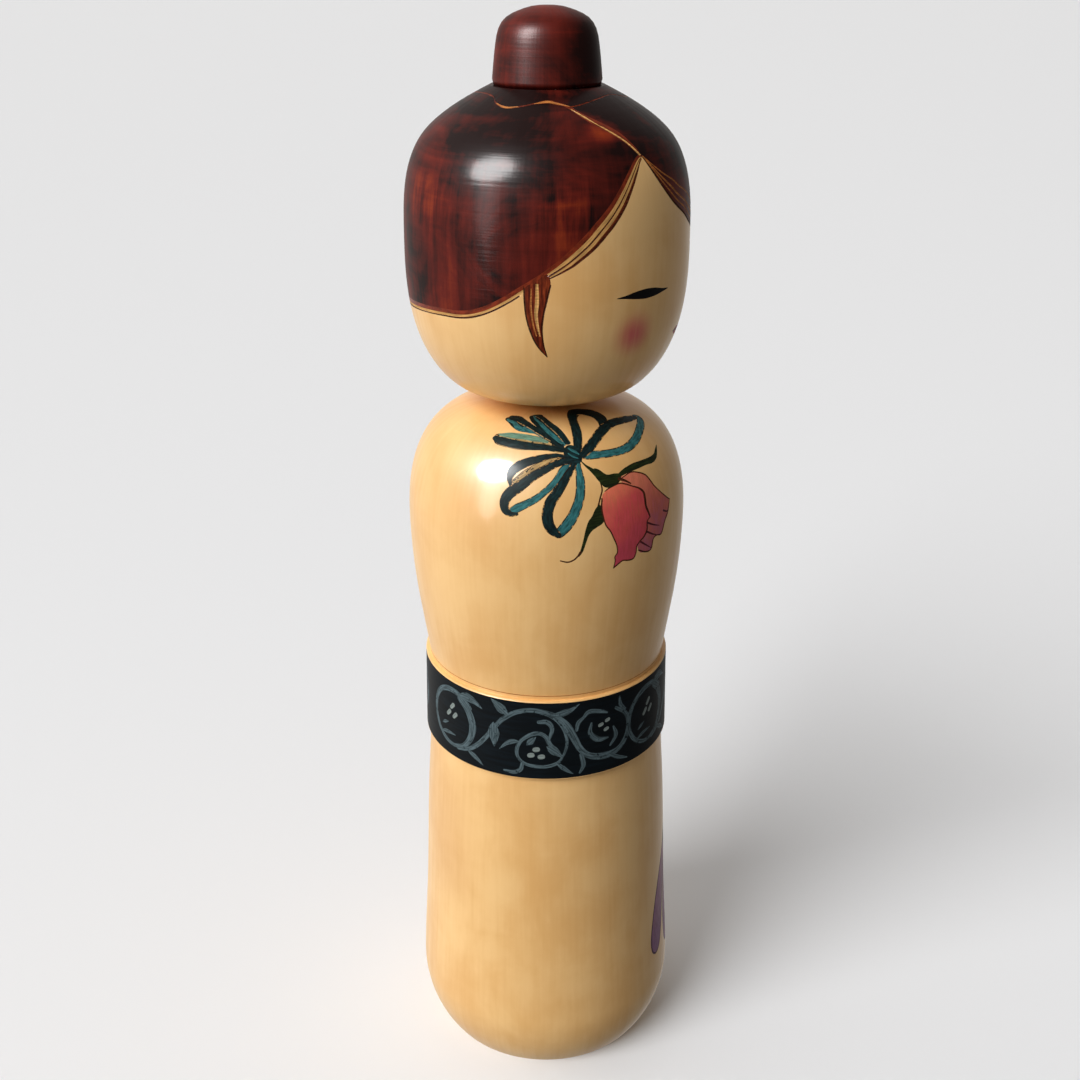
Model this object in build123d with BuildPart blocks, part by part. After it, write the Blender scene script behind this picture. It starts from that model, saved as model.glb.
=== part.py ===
from build123d import *
import os

# Turned wooden doll: body, neck dowel, head and topknot, all round about the Z axis.
# Millimetres; origin at the middle of the foot, +Z up, the face looks along -Y.

# Overall
doll_height = 242.0
# Body
foot_flat_radius = 26.8
foot_round_height = 15.0
foot_radius = 31.1
band_bottom_z = 83.3
band_top_z = 103.0
waist_below_radius = 27.4
waist_above_radius = 27.0
band_bottom_radius = 28.4
band_top_radius = 28.0
band_root = 2.0
band_edge_round = 0.25
shoulder_z = 136.0
shoulder_radius = 30.5
seat_z = 163.0
seat_radius = 9.0
# Neck
dowel_diameter = 12.0
dowel_in_body = 22.0
dowel_in_head = 24.0
dowel_chamfer = 0.8
socket_end_gap = 1.0
turning_clearance = 0.05
head_lift = 0.2
# Head
cheek_z = 200.0
cheek_radius = 29.3
crown_z = 227.4
crown_seat_radius = 11.4
# Topknot
knot_base_radius = 11.0
knot_edge_round = 0.4
spigot_diameter = 10.0
spigot_length = 10.0
spigot_chamfer = 0.6
crown_socket_gap = 0.6

os.makedirs("parts", exist_ok=True)

dowel_radius = dowel_diameter / 2
chin_z = seat_z + head_lift
spigot_radius = spigot_diameter / 2

# Body: rounded foot, slow taper to the waist, raised sash band, full shoulders, flat neck seat
foot_mid = (29.8, 6.2)
taper_low = (29.9, 36.0)
taper_high = (28.55, 66.0)
shoulder_rise = (29.4, 120.0)
shoulder_turn = (29.4, 148.3)
shoulder_fall = (24.3, 157.9)
shoulder_top = (17.0, 162.2)

with BuildPart() as body:
    with BuildSketch(Plane.XZ):
        with BuildLine():
            Line((0, 0), (foot_flat_radius, 0))
            ThreePointArc((foot_flat_radius, 0), foot_mid, (foot_radius, foot_round_height))
            Spline(
                (foot_radius, foot_round_height),
                taper_low,
                taper_high,
                (waist_below_radius, band_bottom_z),
                tangents=[(-0.03, 1.0), (-0.06, 1.0)],
            )
            Line((waist_below_radius, band_bottom_z), (waist_above_radius, band_top_z))
            Spline(
                (waist_above_radius, band_top_z),
                shoulder_rise,
                (shoulder_radius, shoulder_z),
                shoulder_turn,
                shoulder_fall,
                shoulder_top,
                (seat_radius, seat_z),
                tangents=[(0.13, 1.0), (-1.0, 0.0)],
            )
            Line((seat_radius, seat_z), (0, seat_z))
            Line((0, seat_z), (0, 0))
        make_face()
    revolve(axis=Axis.Z)
    # Sash band, left standing proud of the waist
    with BuildSketch(Plane.XZ):
        with BuildLine():
            Polyline(
                (waist_above_radius - band_root, band_bottom_z),
                (band_bottom_radius, band_bottom_z),
                (band_top_radius, band_top_z),
                (waist_above_radius - band_root, band_top_z),
                close=True,
            )
        make_face()
    revolve(axis=Axis.Z)
    rings = body.edges().filter_by(GeomType.CIRCLE)
    lower_rim = rings.filter_by_position(Axis.Z, band_bottom_z - 0.01, band_bottom_z + 0.01)
    upper_rim = rings.filter_by_position(Axis.Z, band_top_z - 0.01, band_top_z + 0.01)
    band_rims = [lower_rim.sort_by(SortBy.RADIUS)[-1], upper_rim.sort_by(SortBy.RADIUS)[-1]]
    fillet(band_rims, band_edge_round)
    # Blind socket for the neck dowel
    with BuildSketch(Plane.XY.offset(seat_z)):
        Circle(dowel_radius)
    extrude(amount=-(dowel_in_body + socket_end_gap), mode=Mode.SUBTRACT)
body.part.label = "body"

# Neck dowel: plain pin, half in the body and half in the head
with BuildPart() as neck_dowel:
    with BuildSketch(Plane.XY.offset(seat_z - dowel_in_body)):
        Circle(dowel_radius)
    extrude(amount=dowel_in_body + dowel_in_head)
    chamfer(neck_dowel.edges().filter_by(GeomType.CIRCLE), dowel_chamfer)
neck_dowel.part.label = "neck_dowel"

# Head: rounded ball, undercut below the jaw, with a small flat chin and a flat crown seat
chin_flat_radius = 7.5
chin_slope = (13.5, 165.3)
chin_turn = (19.4, 167.6)
jaw = (22.25, 170.0)
jaw_turn = (27.6, 180.0)
brow = (28.0, 212.0)
crown_turn = (25.1, 218.0)
crown_slope = (20.5, 222.2)

with BuildPart() as head:
    with BuildSketch(Plane.XZ):
        with BuildLine():
            Line((0, chin_z), (chin_flat_radius, chin_z))
            Spline(
                (chin_flat_radius, chin_z),
                chin_slope,
                chin_turn,
                jaw,
                jaw_turn,
                (cheek_radius, cheek_z),
                brow,
                crown_turn,
                crown_slope,
                (crown_seat_radius, crown_z),
                tangents=[(1.0, 0.35), (-1.0, 0.5)],
            )
            Line((crown_seat_radius, crown_z), (0, crown_z))
            Line((0, crown_z), (0, chin_z))
        make_face()
    revolve(axis=Axis.Z)
    # Running bore for the dowel
    with BuildSketch(Plane.XY.offset(chin_z)):
        Circle(dowel_radius + turning_clearance)
    extrude(amount=dowel_in_head + socket_end_gap, mode=Mode.SUBTRACT)
    # Socket for the topknot spigot
    with BuildSketch(Plane.XY.offset(crown_z)):
        Circle(spigot_radius)
    extrude(amount=-(spigot_length + crown_socket_gap), mode=Mode.SUBTRACT)
head.part.label = "head"

# Topknot: slightly tapered bun with a low domed top and its own spigot
knot_side = (10.25, 234.5)
knot_shoulder = (8.5, 239.4)
knot_rise = (4.8, 241.3)

with BuildPart() as topknot:
    with BuildSketch(Plane.XZ):
        with BuildLine():
            Line((0, crown_z), (knot_base_radius, crown_z))
            Spline(
                (knot_base_radius, crown_z),
                knot_side,
                knot_shoulder,
                knot_rise,
                (0, doll_height),
                tangents=[(-0.1, 1.0), (-1.0, 0.0)],
            )
            Line((0, doll_height), (0, crown_z))
        make_face()
    revolve(axis=Axis.Z)
    knot_rim = topknot.edges().filter_by(GeomType.CIRCLE).filter_by_position(
        Axis.Z, crown_z - 0.1, crown_z + 0.1
    )
    fillet(knot_rim, knot_edge_round)
    with BuildSketch(Plane.XY.offset(crown_z - spigot_length)):
        Circle(spigot_radius)
    extrude(amount=spigot_length)
    spigot_tip = topknot.edges().filter_by(GeomType.CIRCLE).sort_by(Axis.Z)[0]
    chamfer(spigot_tip, spigot_chamfer)
topknot.part.label = "topknot"

export_step(body.part, "parts/body.step")
export_step(neck_dowel.part, "parts/neck_dowel.step")
export_step(head.part, "parts/head.step")
export_step(topknot.part, "parts/topknot.step")
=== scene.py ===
import math

import bpy
import numpy as np
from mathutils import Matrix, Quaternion, Vector
from mathutils.geometry import delaunay_2d_cdt


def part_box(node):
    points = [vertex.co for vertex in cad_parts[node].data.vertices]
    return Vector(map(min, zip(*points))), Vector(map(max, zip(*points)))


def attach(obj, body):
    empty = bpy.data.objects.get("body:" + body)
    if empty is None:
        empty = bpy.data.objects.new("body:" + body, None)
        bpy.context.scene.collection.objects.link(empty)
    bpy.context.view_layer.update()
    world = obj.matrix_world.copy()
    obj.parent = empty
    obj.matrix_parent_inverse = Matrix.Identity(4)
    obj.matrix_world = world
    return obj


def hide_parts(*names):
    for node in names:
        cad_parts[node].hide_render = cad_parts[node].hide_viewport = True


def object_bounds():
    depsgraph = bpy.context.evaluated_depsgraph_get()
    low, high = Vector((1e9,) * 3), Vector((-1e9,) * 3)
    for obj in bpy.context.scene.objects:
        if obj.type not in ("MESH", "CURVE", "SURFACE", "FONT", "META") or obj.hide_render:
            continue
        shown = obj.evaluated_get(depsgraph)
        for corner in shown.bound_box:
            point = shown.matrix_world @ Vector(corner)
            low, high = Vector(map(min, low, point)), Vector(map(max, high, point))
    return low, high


# The doll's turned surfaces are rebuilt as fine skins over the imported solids. Each skin is
# laid out on a flat chart: angle in degrees round from the middle of the face (positive to
# the doll's left) by distance in millimetres up the turned outline. Paint, stain and carved
# lines are drawn on the chart as outlines, and become real edges, faces and grooves.

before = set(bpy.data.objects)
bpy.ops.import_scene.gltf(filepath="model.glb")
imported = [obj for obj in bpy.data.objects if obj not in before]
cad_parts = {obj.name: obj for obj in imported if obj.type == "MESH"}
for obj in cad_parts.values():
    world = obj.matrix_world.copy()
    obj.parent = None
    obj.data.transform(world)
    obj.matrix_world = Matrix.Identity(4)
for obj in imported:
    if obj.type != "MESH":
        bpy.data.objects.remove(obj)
cad_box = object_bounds()

MM = 0.001
CHART_RADIUS = 30.0     # radius at which chart distances across are true
GRID_PITCH = 1.3        # spacing of the points that carry the plain surface
CURVE_PITCH = 0.45      # spacing of points along painted and carved edges
CORNER_STEPS = 4        # steps in a rounded corner or a brush end
LEAST_WIDTH = 0.02      # thinnest a painted or carved line may get
SEAM_REACH = 0.02       # how far apart matching points of the back seam may lie
ON_EDGE = 1e-3          # how close a point must be to count as on the seam or a rim
LEAST_AREA = 1e-7       # faces smaller than this are left out
LEAST_DEPTH = 1e-4      # shallower than this counts as not carved

# Turned sizes shared with the solids, in millimetres
doll_height = cad_box[1].z / MM
neck_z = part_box("body")[1].z / MM
chin_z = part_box("head")[0].z / MM
crown_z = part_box("head")[1].z / MM
spigot_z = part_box("topknot")[0].z / MM
band_bottom_z = 83.3
band_top_z = 103.0
waist_below_radius = 27.4
waist_above_radius = 27.0
band_bottom_radius = 28.4
band_top_radius = 28.0
band_edge_round = 0.25
seat_radius = 9.0
chin_flat_radius = 7.5
dowel_radius = 6.0
socket_depth = 23.0
bore_radius = 6.05
bore_depth = 25.0
crown_socket_radius = 5.0
crown_socket_depth = 10.6
knot_base_radius = 11.0
knot_edge_round = 0.4

# The head's chart is measured so that its widest height lies at this distance
brow_z = 200.0
brow_along = 46.8


# ---------------------------------------------------------------- turned outlines

def node_points(name):
    """Radius and height of every vertex of a CAD node, in millimetres."""
    verts = np.array([v.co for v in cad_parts[name].data.vertices]) / MM
    return np.hypot(verts[:, 0], verts[:, 1]), verts[:, 2]


def turned_outline(name, low, high, least_radius, first=(), last=(), spacing=1.0, fine=0.25):
    """Smooth outline (radius, height) of a turned node between two heights.

    first and last are edge points that the outline must begin and end at.
    """
    radius, height = node_points(name)
    keep = (height > low - 1e-3) & (height < high + 1e-3) & (radius > least_radius)
    order = np.argsort(height[keep])
    points = np.column_stack([radius[keep][order], height[keep][order]])
    points = np.vstack([p for p in (first, points, last) if len(p)])
    chosen = [points[0]]
    for p in points[1:]:
        if np.hypot(*(p - chosen[-1])) > spacing:
            chosen.append(p)
    if np.hypot(*(points[-1] - chosen[-1])) > 0.3 * spacing:
        chosen.append(points[-1])
    else:
        chosen[-1] = points[-1]
    return spline(np.array(chosen), fine)


def spline(points, pitch, closed=False):
    """Catmull-Rom curve through the points, sampled about every pitch."""
    pts = np.asarray(points, float)
    if closed:
        ext = np.vstack([pts[-1], pts, pts[:2]])
    else:
        ext = np.vstack([2 * pts[0] - pts[1], pts, 2 * pts[-1] - pts[-2]])
    out = []
    for p0, p1, p2, p3 in zip(ext, ext[1:], ext[2:], ext[3:]):
        n = max(1, int(math.ceil(np.hypot(*(p2 - p1)[:2]) / pitch)))
        t = np.arange(n)[:, None] / n
        out.append(0.5 * (2 * p1 + (p2 - p0) * t + (2 * p0 - 5 * p1 + 4 * p2 - p3) * t ** 2
                          + (3 * p1 - p0 - 3 * p2 + p3) * t ** 3))
    if not closed:
        out.append(pts[-1:])
    return np.vstack(out)


def rounded_corner(centre, radius, start, end):
    """Arc of a corner round, between two angles in degrees from straight outward."""
    turn = np.radians(np.linspace(start, end, CORNER_STEPS + 1))
    return np.column_stack([centre[0] + radius * np.cos(turn), centre[1] + radius * np.sin(turn)])


class Outline:
    """A turned outline in one or more smooth stretches, measured along its length."""

    def __init__(self, stretches):
        self.stretches = []
        at = 0.0
        for pts in stretches:
            step = np.hypot(*np.diff(pts, axis=0).T)
            along = at + np.concatenate([[0.0], np.cumsum(step)])
            run = np.gradient(pts, along, axis=0)
            run /= np.hypot(*run.T)[:, None]
            self.stretches.append((along, pts, np.column_stack([run[:, 1], -run[:, 0]])))
            at = along[-1]
        self.length = at
        self.joins = [s[0][-1] for s in self.stretches[:-1]]
        self.along = np.concatenate([s[0] for s in self.stretches])
        self.points = np.vstack([s[1] for s in self.stretches])

    def place(self, s):
        """Radius and height at a distance along the outline."""
        return (np.interp(s, self.along, self.points[:, 0]),
                np.interp(s, self.along, self.points[:, 1]))

    def along_at(self, height):
        """Distance along the outline at a height."""
        return float(np.interp(height, self.points[:, 1], self.along))

    def radius(self, s):
        """Radius at a distance along the outline, never so small that a chart point runs away."""
        return np.maximum(self.place(s)[0], 1.0)

    def normal(self, s, stretch):
        """Outward normal of one stretch at a distance along the outline."""
        along, _, out = self.stretches[stretch]
        n = np.column_stack([np.interp(s, along, out[:, 0]), np.interp(s, along, out[:, 1])])
        return n / np.hypot(*n.T)[:, None]


# ---------------------------------------------------------------- charts and skins

def new_object(name, data):
    ob = bpy.data.objects.new(name, data)
    bpy.context.scene.collection.objects.link(ob)
    return ob


def inside(outline, points):
    """Which points lie inside a closed outline, by winding number."""
    lo, hi = outline.min(0), outline.max(0)
    near = np.flatnonzero(((points >= lo) & (points <= hi)).all(1))
    result = np.zeros(len(points), bool)
    if not len(near):
        return result
    x, y = points[near, 0][:, None], points[near, 1][:, None]
    x1, y1 = outline.T
    x2, y2 = np.roll(outline, -1, axis=0).T
    side = (x2 - x1) * (y - y1) - (x - x1) * (y2 - y1)
    up = (y1 <= y) & (y2 > y) & (side > 0)
    down = (y1 > y) & (y2 <= y) & (side < 0)
    result[near] = (up.sum(1) - down.sum(1)) != 0
    return result


def distance_to(line, points):
    """Shortest distance from each point to an open line of points."""
    a, b = line[:-1], line[1:]
    ab = b - a
    t = ((points[:, None] - a) * ab).sum(2) / np.maximum((ab ** 2).sum(1), 1e-12)
    foot = a + np.clip(t, 0, 1)[..., None] * ab
    return np.sqrt(((points[:, None] - foot) ** 2).sum(2)).min(1)


def along_and_across(line, points):
    """Distance along an open line and signed distance to its side, for each point."""
    flat = points.reshape(-1, 2)
    a, ab = line[:-1], np.diff(line, axis=0)
    length = np.hypot(*ab.T)
    t = ((flat[:, None] - a) * ab).sum(2) / np.maximum(length ** 2, 1e-12)
    off = flat[:, None] - (a + np.clip(t, 0, 1)[..., None] * ab)
    gap = np.hypot(off[..., 0], off[..., 1])
    k = gap.argmin(1)
    row = np.arange(len(flat))
    start = np.concatenate([[0.0], np.cumsum(length)[:-1]])
    along = start[k] + np.clip(t[row, k], 0, 1) * length[k]
    side = np.sign(ab[k, 0] * off[row, k, 1] - ab[k, 1] * off[row, k, 0])
    return np.column_stack([along, side * gap[row, k]]).reshape(points.shape)


def split_long_edges(poly, longest):
    """Adds points to a closed outline so that no edge is longer than the limit."""
    out = []
    for p, q in zip(poly, np.roll(poly, -1, axis=0)):
        n = max(1, int(math.ceil(np.hypot(*(q - p)) / longest)))
        out.append(p + (q - p) * np.arange(n)[:, None] / n)
    return np.vstack(out)


def clip_side(poly, x_edge, keep_above):
    """The part of a closed outline on one side of a vertical chart line."""
    out = []
    sign = 1 if keep_above else -1
    for p, q in zip(poly, np.roll(poly, -1, axis=0)):
        dp, dq = sign * (p[0] - x_edge), sign * (q[0] - x_edge)
        if dp >= 0:
            out.append(p)
        if dp * dq < 0:
            cut = p + (q - p) * (dp / (dp - dq))
            out.append(np.array([x_edge, cut[1]]))
    return np.array(out)


class Skin:
    """One turned surface laid out flat, with its paint and its carved lines."""

    half_turn = math.pi * CHART_RADIUS

    def __init__(self, name, outline, ground, origin=0.0):
        self.name, self.outline, self.origin = name, outline, origin
        self.slots = [ground]
        self.layers = []
        self.cuts = []

    def chart(self, points):
        """Chart positions in millimetres from angles in degrees and distances along."""
        pts = np.array(points, float)
        pts[:, 0] = np.radians(pts[:, 0]) * CHART_RADIUS
        pts[:, 1] += self.origin
        return pts

    def slot(self, mat):
        if mat not in self.slots:
            self.slots.append(mat)
        return self.slots.index(mat)

    def add(self, poly, mat, fade=None, path=None):
        """Adds a closed chart outline, cut where it crosses the back seam."""
        poly = split_long_edges(poly, GRID_PITCH)
        poly[:, 1] = np.clip(poly[:, 1], 0, self.outline.length)
        for shift in (-2 * self.half_turn, 0, 2 * self.half_turn):
            part = poly + [shift, 0]
            if part[:, 0].max() <= -self.half_turn or part[:, 0].min() >= self.half_turn:
                continue
            if part[:, 0].min() < -self.half_turn:
                part = clip_side(part, -self.half_turn, True)
            if part[:, 0].max() > self.half_turn:
                part = clip_side(part, self.half_turn, False)
            moved = None if path is None else path + [shift, 0]
            self.layers.append((part, self.slot(mat), fade, moved))

    def patch(self, points, mat, fade=None, sharp=False):
        """A filled shape whose edge runs through the points."""
        pts = self.chart(points)
        self.add(pts if sharp else spline(pts, CURVE_PITCH, closed=True), mat, fade)

    def ribbon(self, points, width_of):
        """Left and right edges of a line, from its (angle, distance, width) points."""
        mid = spline(self.chart(points), CURVE_PITCH)
        stretch = self.outline.radius(mid[:, 1]) / CHART_RADIUS
        run = np.gradient(np.column_stack([mid[:, 0] * stretch, mid[:, 1]]), axis=0)
        run /= np.maximum(np.hypot(*run.T), 1e-9)[:, None]
        half = np.maximum(width_of(mid[:, 2]), LEAST_WIDTH) / 2
        off = np.column_stack([-run[:, 1] / stretch, run[:, 0]]) * half[:, None]
        return mid[:, :2], off, run, stretch, half

    def stroke(self, points, mat, grow=0.0):
        """A brush stroke with round ends along (angle, distance, width) points."""
        mid, off, run, stretch, half = self.ribbon(points, lambda w: w + grow)
        turn = np.radians(np.linspace(60, -60, CORNER_STEPS + 1))

        def cap(i, way):
            ahead, side = run[i] * way, np.array([-run[i][1], run[i][0]]) * way
            reach = np.cos(turn)[:, None] * ahead + np.sin(turn)[:, None] * side
            return mid[i] + reach * half[i] * [1 / stretch[i], 1]

        edge = np.vstack([mid + off, cap(-1, 1), (mid - off)[::-1], cap(0, -1)])
        self.add(edge, mat, path=mid)

    def carve(self, points, depth, mat):
        """A carved V groove along (angle, distance, width) points, stained with mat."""
        mid, off, run, stretch, half = self.ribbon(points, lambda w: w)
        self.add(np.vstack([mid + off, (mid - off)[::-1]]), mat)
        self.cuts.append((mid, half, depth))

    def grid(self):
        """Staggered points that carry the curve of the surface between painted edges."""
        length = self.outline.length
        rows = max(2, int(round(length / GRID_PITCH)))
        columns = int(round(2 * self.half_turn / GRID_PITCH))
        x = np.linspace(-self.half_turn, self.half_turn, columns + 1)
        shift = (x[1] - x[0]) / 2
        points = []
        for i, s in enumerate(np.linspace(0, length, rows + 1)):
            if i % 2:
                row = np.concatenate([x[:1], x[:-1] + shift, x[-1:]])
            else:
                row = x
            points.append(np.column_stack([row, np.full(len(row), s)]))
        return np.vstack(points), x

    def build(self, lower_end, upper_end, top_mat=None):
        """Cuts the chart along every line drawn on it and wraps it round the outline."""
        self.top_slot = 0 if top_mat is None else self.slot(top_mat)
        grid, columns = self.grid()
        coords, edges = [grid], []
        count = len(grid)

        def add_line(pts, closed):
            nonlocal count
            ids = np.arange(count, count + len(pts))
            coords.append(pts)
            edges.extend(zip(ids[:-1], ids[1:]))
            if closed:
                edges.append((ids[-1], ids[0]))
            count += len(pts)

        for s in (0.0, *self.outline.joins, self.outline.length):
            add_line(np.column_stack([columns, np.full(len(columns), s)]), False)
        for x in (-self.half_turn, self.half_turn):
            add_line(np.array([[x, 0.0], [x, self.outline.length]]), False)
        for poly, *_ in self.layers:
            add_line(poly, True)
        for mid, _, _ in self.cuts:
            add_line(mid, False)
        flat = [Vector(p) for p in np.vstack(coords).tolist()]
        edges = [(int(i), int(j)) for i, j in edges]
        out = delaunay_2d_cdt(flat, edges, [], 0, 1e-4)
        pts = np.array([tuple(v) for v in out[0]])
        tris = np.array([f for f in out[2] if len(f) == 3])
        return self.mesh(pts, tris, lower_end, upper_end)

    def mesh(self, pts, tris, lower_end, upper_end):
        """The finished object from the flat triangles and the rings that close both ends."""
        # Join the two sides of the seam at the back
        right = np.flatnonzero(pts[:, 0] > self.half_turn - ON_EDGE)
        left = np.flatnonzero(pts[:, 0] < -self.half_turn + ON_EDGE)
        left_s = pts[left, 1]
        remap = np.arange(len(pts))
        for i in right:
            j = np.argmin(abs(left_s - pts[i, 1]))
            if abs(left_s[j] - pts[i, 1]) < SEAM_REACH:
                remap[i] = left[j]
        side, lift = pts[tris[:, 1]] - pts[tris[:, 0]], pts[tris[:, 2]] - pts[tris[:, 0]]
        area = side[:, 0] * lift[:, 1] - side[:, 1] * lift[:, 0]
        joined = remap[tris]
        apart = ((joined[:, 0] != joined[:, 1]) & (joined[:, 1] != joined[:, 2])
                 & (joined[:, 2] != joined[:, 0]))
        tris = tris[(area > LEAST_AREA) & apart]
        centre = pts[tris].mean(1)

        # Paint slot of every face, and for every corner the way the brush went:
        # distance along the stroke, distance across it, and the fade between two colours
        slot = np.zeros(len(tris), int)
        brush = np.zeros((len(tris), 3, 3))
        for poly, which, fade, path in self.layers:
            hit = inside(poly, centre)
            slot[hit] = which
            here = pts[tris[hit]]
            brush[hit, :, :2] = here if path is None else along_and_across(path, here)
            brush[hit, :, 2] = 0.0
            if fade is not None:
                start, end = self.chart(fade)
                way = (end - start) / ((end - start) ** 2).sum()
                brush[hit, :, 2] = np.clip((here - start) @ way, 0, 1)

        depth = np.zeros(len(pts))
        for mid, half, deep in self.cuts:
            lo, hi = mid.min(0) - 1, mid.max(0) + 1
            near = np.flatnonzero(((pts >= lo) & (pts <= hi)).all(1))
            scale = np.array([self.outline.radius(mid[:, 1].mean()) / CHART_RADIUS, 1.0])
            d = distance_to(mid * scale, pts[near] * scale)
            wide = np.interp(pts[near, 1], np.sort(mid[:, 1]), half[np.argsort(mid[:, 1])])
            depth[near] = np.maximum(depth[near], deep * np.clip(1 - d / wide, 0, 1))

        turn = pts[:, 0] / CHART_RADIUS
        radius, height = self.outline.place(pts[:, 1])
        radius = np.maximum(radius - depth, 0.05)
        place = np.column_stack([radius * np.sin(turn), -radius * np.cos(turn), height])

        joins = np.array(self.outline.joins)
        stretch = np.searchsorted(joins, centre[:, 1]) if len(joins) else np.zeros(len(tris), int)
        normals = np.zeros((len(tris), 3, 3))
        for k in range(len(self.outline.stretches)):
            pick = stretch == k
            n = self.outline.normal(pts[tris[pick]].reshape(-1, 2)[:, 1], k)
            a = turn[tris[pick]].ravel()
            n3 = np.column_stack([n[:, 0] * np.sin(a), -n[:, 0] * np.cos(a), n[:, 1]])
            normals[pick] = n3.reshape(-1, 3, 3)
        tris = remap[tris]
        cut = (depth[tris] > LEAST_DEPTH).any(1)
        p = place[tris[cut]]
        n = np.cross(p[:, 1] - p[:, 0], p[:, 2] - p[:, 0])
        n /= np.maximum(np.linalg.norm(n, axis=1), 1e-12)[:, None]
        normals[cut] = n[:, None, :]

        used, tris = np.unique(tris, return_inverse=True)
        faces = [tuple(t) for t in tris.reshape(-1, 3).tolist()]
        verts = place[used].tolist()
        rim_turn, rim_along = turn[used], pts[used, 1]
        face_slots, loop_normals = slot.tolist(), normals.reshape(-1, 3).tolist()
        strokes = brush.reshape(-1, 3).tolist()

        def close_end(s, rings, upward, end_slot):
            """Closes an open rim through rings of (radius, height) down to the axis."""
            rim = np.flatnonzero(abs(rim_along - s) < ON_EDGE)
            rim = rim[np.argsort(rim_turn[rim])]
            before, angles = rim.tolist(), rim_turn[rim]
            for r, z in rings:
                if r > 0:
                    now = list(range(len(verts), len(verts) + len(rim)))
                    verts.extend([[r * math.sin(a), -r * math.cos(a), z] for a in angles])
                else:
                    now = [len(verts)] * len(rim)
                    verts.append([0.0, 0.0, z])
                for i in range(len(rim)):
                    j = (i + 1) % len(rim)
                    face = [before[i], before[j], now[j], now[i]]
                    if r <= 0:
                        face = face[:3]
                    if not upward:
                        face.reverse()
                    p = np.array([verts[k] for k in face])
                    n = np.cross(p[1] - p[0], p[2] - p[1])
                    n = (n / max(np.linalg.norm(n), 1e-12)).tolist()
                    faces.append(tuple(face))
                    face_slots.append(end_slot)
                    loop_normals.extend([n] * len(face))
                    strokes.extend([[0.0, 0.0, 0.0]] * len(face))
                before = now

        close_end(0.0, lower_end, False, 0)
        close_end(self.outline.length, upper_end, True, self.top_slot)

        data = bpy.data.meshes.new(self.name)
        data.from_pydata([[c * MM for c in v] for v in verts], [], faces)
        for mat in self.slots:
            data.materials.append(mat)
        data.validate()
        data.polygons.foreach_set("material_index", face_slots)
        data.polygons.foreach_set("use_smooth", [True] * len(faces))
        stroke = data.attributes.new("brush", "FLOAT_VECTOR", "CORNER")
        stroke.data.foreach_set("vector", [c for v in strokes for c in v])
        data.update(calc_edges=True)
        data.normals_split_custom_set(loop_normals)
        return new_object(self.name, data)


# ---------------------------------------------------------------- materials

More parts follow.
